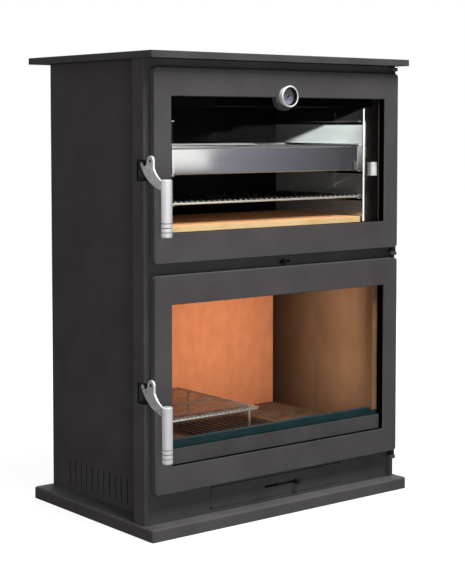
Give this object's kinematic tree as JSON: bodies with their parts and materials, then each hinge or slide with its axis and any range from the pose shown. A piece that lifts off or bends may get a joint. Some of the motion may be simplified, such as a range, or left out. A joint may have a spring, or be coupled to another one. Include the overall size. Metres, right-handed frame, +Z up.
{
  "type": "wood-burning stove with oven",
  "caption": "Free-standing steel wood stove: a glazed oven with tray, rack and dial thermometer above a glazed firebox with ash drawer, on a plinth, with lever handles and a flue collar.",
  "frame": {"origin": "middle of the plinth's underside, on the floor", "axes": "+Z up, the doors face -Y, +X to the right seen from the front"},
  "size_m": [0.8, 0.5713, 1.109],
  "materials": {
    "stove_paint": "matt heat-proof grey paint",
    "door_paint": "matt heat-proof grey paint",
    "drawer_paint": "matt heat-proof grey paint",
    "fire_steel": "bare rolled steel, blackened",
    "stainless_sheet": "bright rolled stainless",
    "chromed_wire": "chromed wire",
    "fire_board": "pressed heat board",
    "fire_brick": "dry fire brick",
    "oven_tile": "dry refractory slab",
    "cast_grate": "as cast",
    "guard_enamel": "dark satin enamel",
    "heat_glass": "clear heat-proof glass",
    "rope_seal": "braided rope",
    "zinc_plate": "zinc plated",
    "cast_handle": "as cast, tumbled",
    "satin_grip": "turned, satin",
    "gauge_chrome": "polished",
    "dial_face": "printed grey",
    "gauge_lens": "clear",
    "needle_black": "black paint"
  },
  "bodies": {
    "stove_body": {"base_plinth": "stove_paint", "left_side_panel": "stove_paint", "right_side_panel": "stove_paint", "back_panel": "stove_paint", "front_frame": "stove_paint", "top_plate": "stove_paint", "hinge_lugs": "stove_paint", "oven_mouth_flange": "stove_paint", "flue_collar": "door_paint", "inner_left_wall": "fire_steel", "inner_right_wall": "fire_steel", "inner_back_wall": "fire_steel", "smoke_box_roof": "fire_steel", "firebox_floor": "fire_steel", "ash_drawer_runners": "fire_steel", "catch_studs": "fire_steel", "hinge_pins": "fire_steel", "oven_floor": "stainless_sheet", "oven_roof": "stainless_sheet", "oven_back": "stainless_sheet", "oven_left_wall": "stainless_sheet", "oven_right_wall": "stainless_sheet", "oven_runners": "stainless_sheet", "grill_rack": "chromed_wire", "left_fire_board": "fire_board", "right_fire_board": "fire_board", "back_fire_board": "fire_board", "baffle_board": "fire_board", "hearth_bricks": "fire_brick", "oven_floor_tile": "oven_tile", "fire_grate": "cast_grate", "log_guard": "guard_enamel", "flue_collar_screws": "zinc_plate"},
    "oven_door": {"oven_door_frame": "door_paint", "oven_door_glass": "heat_glass", "oven_door_gasket": "rope_seal", "oven_glass_clips": "zinc_plate", "oven_clip_screws": "zinc_plate", "oven_handle_bolt": "zinc_plate", "thermometer_case": "gauge_chrome", "thermometer_dial": "dial_face", "thermometer_lens": "gauge_lens"},
    "needle": {"thermometer_needle": "needle_black"},
    "oven_handle": {"oven_handle_lever": "cast_handle", "oven_handle_grip": "satin_grip"},
    "fire_door": {"fire_door_frame": "door_paint", "fire_door_glass": "heat_glass", "fire_door_gasket": "rope_seal", "fire_glass_clips": "zinc_plate", "fire_clip_screws": "zinc_plate", "fire_glass_trim": "stove_paint", "fire_handle_bolt": "zinc_plate"},
    "fire_handle": {"fire_handle_lever": "cast_handle", "fire_handle_grip": "satin_grip"},
    "ash_drawer": {"ash_drawer": "drawer_paint"},
    "primary_air": {"primary_air_slider": "drawer_paint"},
    "secondary_air": {"secondary_air_slider": "drawer_paint"},
    "baking_tray": {"baking_tray": "stainless_sheet"},
    "oven_rack": {"oven_rack": "chromed_wire"}
  },
  "joints": [
    {"name": "oven_door_hinge", "type": "hinge", "parent": "stove_body", "child": "oven_door", "pos_m": [0.371, -0.231, 0.844], "axis": [0, 0, 1], "range_deg": [0, 115]},
    {"name": "fire_door_hinge", "type": "hinge", "parent": "stove_body", "child": "fire_door", "pos_m": [0.371, -0.231, 0.348], "axis": [0, 0, 1], "range_deg": [0, 115]},
    {"name": "oven_handle_turn", "type": "hinge", "parent": "oven_door", "child": "oven_handle", "pos_m": [-0.38375, -0.231, 0.855], "axis": [-1, 0, 0], "range_deg": [0, 60]},
    {"name": "fire_handle_turn", "type": "hinge", "parent": "fire_door", "child": "fire_handle", "pos_m": [-0.38375, -0.231, 0.352], "axis": [-1, 0, 0], "range_deg": [0, 60]},
    {"name": "thermometer_needle_turn", "type": "hinge", "parent": "oven_door", "child": "needle", "pos_m": [0.006, -0.245, 1.0025], "axis": [0, 1, 0], "range_deg": [0, 270]},
    {"name": "ash_drawer_slide", "type": "slide", "parent": "stove_body", "child": "ash_drawer", "axis": [0, -1, 0], "range_m": [0, 0.28]},
    {"name": "primary_air_slide", "type": "slide", "parent": "ash_drawer", "child": "primary_air", "axis": [-1, 0, 0], "range_m": [0, 0.09]},
    {"name": "secondary_air_slide", "type": "slide", "parent": "stove_body", "child": "secondary_air", "axis": [1, 0, 0], "range_m": [-0.011, 0.027]},
    {"name": "baking_tray_slide", "type": "slide", "parent": "stove_body", "child": "baking_tray", "axis": [0, -1, 0], "range_m": [-0.03, 0.015]},
    {"name": "oven_rack_slide", "type": "slide", "parent": "stove_body", "child": "oven_rack", "axis": [0, -1, 0], "range_m": [-0.03, 0.015]}
  ]
}
